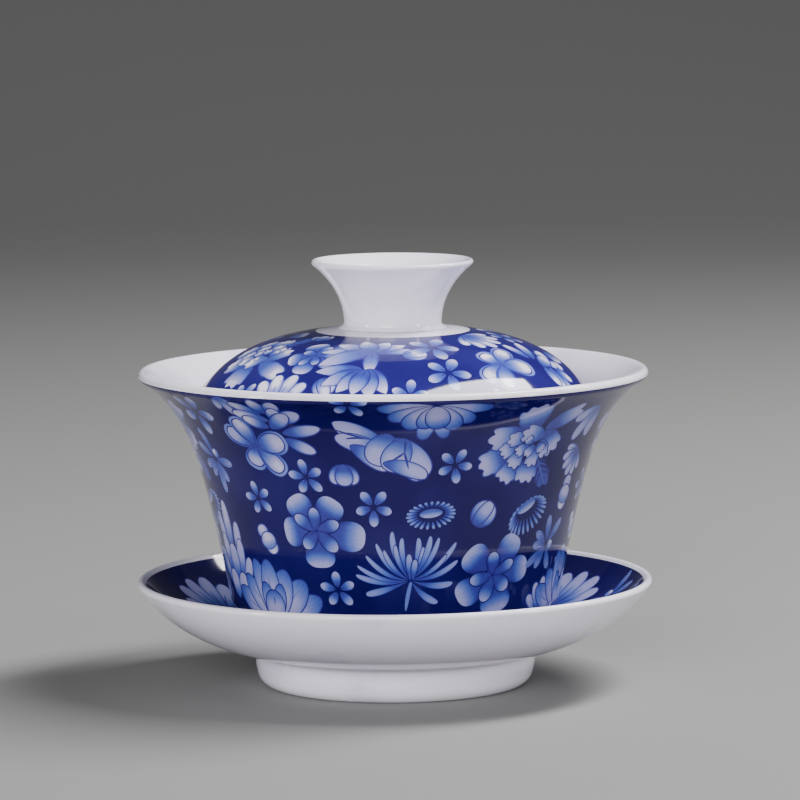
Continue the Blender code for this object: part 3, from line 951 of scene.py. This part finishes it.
# Motif, azimuth in degrees, distance from the middle, size in mm and turn, twice round.
half_lid = [on_dome(*row) for row in (
    (peony, -64, 28.5, 9.4, 20), (left_blossom, -34, 26.5, 7.4, 30), (half_fan, -38, 38.6, 8.6, 180),
    (ball_bud, -22.5, 34.5, 4.6, 30), (trumpet, -9, 25.5, 14.0, 180), (ball_bud, 9.5, 25.5, 4.4, 100),
    (star, 20, 22.5, 5.4, 0), (double_blossom, 43, 30.6, 7.6, 0), (layered_lotus, 65, 33.0, 7.6, 60),
    (star, 19.5, 31.6, 4.8, 0), (star, 5.0, 36.0, 3.9, 20), (half_fan, 52, 17.0, 7.8, 20),
    (bud, -50, 18.0, 3.6, 200), (star, 82, 22.0, 3.8, 10), (bud, -78, 18.6, 3.8, 160),
    (star, 31, 37.6, 3.4, 0), (star, -52, 37.2, 3.6, 0), (bud, 84, 31.5, 4.0, 0),
)]
lid_piece = turned_piece(
    # The lid's ground of 0.085, also added to all its petals, makes its whole print paler than the bowl's.
    # This is a painted highlight standing in for the light from above on the dome.
    "lid_porcelain", lid, glazed, zone=lid_zone, limits=lid_print, grows=1, ground_and_painted_lift=0.085,
    motifs=half_lid + [(kind, azimuth + 180.0, *rest) for kind, azimuth, *rest in half_lid],
)
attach(lid_piece, "lid")
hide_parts("lid")

# ---------------------------------------------------------------------------------------
# Knob. A waisted ring thrown apart and luted to the dome with slip, which leaves a small
# fillet at its foot. It is open at the top and glazed white all over.
# ---------------------------------------------------------------------------------------

low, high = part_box("lid_knob")
knob_r, knob_top, neck_r, knob_wall, seat_gap = high[0] / MM, high[2] / MM, 9.6, 2.1, 0.1


def dome_height(radius):
    """Height of the lid's outer face at a radius."""
    return float(np.interp(radius, dome[:, 0], dome[:, 1]))


seat_r = neck_r + 1.1
flare_line = bezier((knob_r - 0.16, knob_top - 0.95), (11.2, 79.4), (9.75, 75.5), (neck_r, 71.9), 12)
edge = (flare_line[0][0] - 0.77, flare_line[0][1] + 0.77)
hollow_r = neck_r - knob_wall
hollow = bezier((hollow_r, 72.0), (hollow_r + 0.1, 76.5), (10.6, 81.0), edge, 10)
knob = Profile([
    (hollow_r - 0.2, dome_height(hollow_r) + seat_gap),
    *hollow, *half_round(hollow[-1], flare_line[0], 4), *flare_line,
    (neck_r + 0.12, 71.35), (neck_r + 0.5, dome_height(neck_r) + 0.42),
    (seat_r, dome_height(seat_r) + seat_gap),
    (neck_r, dome_height(neck_r) + seat_gap), (hollow_r - 0.2, dome_height(hollow_r) + seat_gap),
])
knob_piece = turned_piece("knob_porcelain", knob, glazed)
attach(knob_piece, "lid")
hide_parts("lid_knob")

# ---------------------------------------------------------------------------------------
# Studio. A plain pale floor that curves up behind, a long soft light overhead that shines
# low on the lid's right, a broad one in front, and two narrow upright ones at the sides.
# ---------------------------------------------------------------------------------------

floor_mesh = bpy.data.meshes.new("floor")
across, along = np.meshgrid(np.linspace(-3.0, 3.0, 2), np.linspace(0.0, 1.0, 40), indexing="ij")
sweep = np.clip((along - 0.6) / 0.4, 0.0, 1.0)
floor_points = np.column_stack((
    across.ravel(), (-2.5 + 6.0 * np.minimum(along, 0.6) + 1.2 * np.sin(sweep * np.pi / 2)).ravel(),
    (1.6 * (1 - np.cos(sweep * np.pi / 2))).ravel(),
))
floor_quads = [(k, k + 40, k + 41, k + 1) for k in range(39)]
floor_mesh.from_pydata(floor_points.tolist(), [], floor_quads)
floor_mesh.shade_smooth()
floor = bpy.data.objects.new("floor", floor_mesh)
bpy.context.scene.collection.objects.link(floor)
plain = bpy.data.materials.new("pale_floor")
plain.use_nodes = True
plain.node_tree.nodes["Principled BSDF"].inputs["Base Color"].default_value = (0.215, 0.212, 0.209, 1.0)
plain.node_tree.nodes["Principled BSDF"].inputs["Roughness"].default_value = 0.8
floor_mesh.materials.append(plain)


def soft_light(name, place, width, height, watts, turn=0.0):
    """A rectangular light that faces the middle of the gaiwan, turned in its own plane."""
    lamp = bpy.data.lights.new(name, "AREA")
    lamp.shape = "RECTANGLE"
    lamp.size, lamp.size_y = width, height
    lamp.energy = watts
    holder = bpy.data.objects.new(name, lamp)
    holder.location = place
    facing = (Vector((0.0, 0.0, 0.05)) - Vector(place)).to_track_quat("-Z", "Y").to_matrix()
    holder.rotation_euler = (facing @ Matrix.Rotation(math.radians(turn), 3, "Z")).to_euler()
    bpy.context.scene.collection.objects.link(holder)


soft_light("overhead", (0.415, 0.13, 0.80), 0.72, 0.205, 17.5, turn=-52.0)
soft_light("front", (-0.3, -1.22, 0.42), 0.8, 0.4, 15.5)
soft_light("left", (-0.85, -0.45, 0.20), 0.12, 0.30, 3.6)
soft_light("right", (0.85, -0.45, 0.20), 0.12, 0.30, 3.4)

sky = bpy.data.worlds.new("studio")
sky.use_nodes = True
sky.node_tree.nodes["Background"].inputs["Color"].default_value = (0.80, 0.84, 0.92, 1.0)
sky.node_tree.nodes["Background"].inputs["Strength"].default_value = 0.12
bpy.context.scene.world = sky

camera_data = bpy.data.cameras.new("camera")
camera = bpy.data.objects.new("camera", camera_data)
camera_data.sensor_width = 36.0
camera_data.lens = 228.6
distance, eye_height, down, roll = 0.9944, 0.1665, 6.33, -0.45
camera.location = (0.0013, -distance, eye_height)
aim = Matrix.Rotation(math.radians(90.0 - down), 3, "X") @ Matrix.Rotation(math.radians(roll), 3, "Z")
camera.rotation_euler = aim.to_euler()
bpy.context.scene.collection.objects.link(camera)
bpy.context.scene.camera = camera
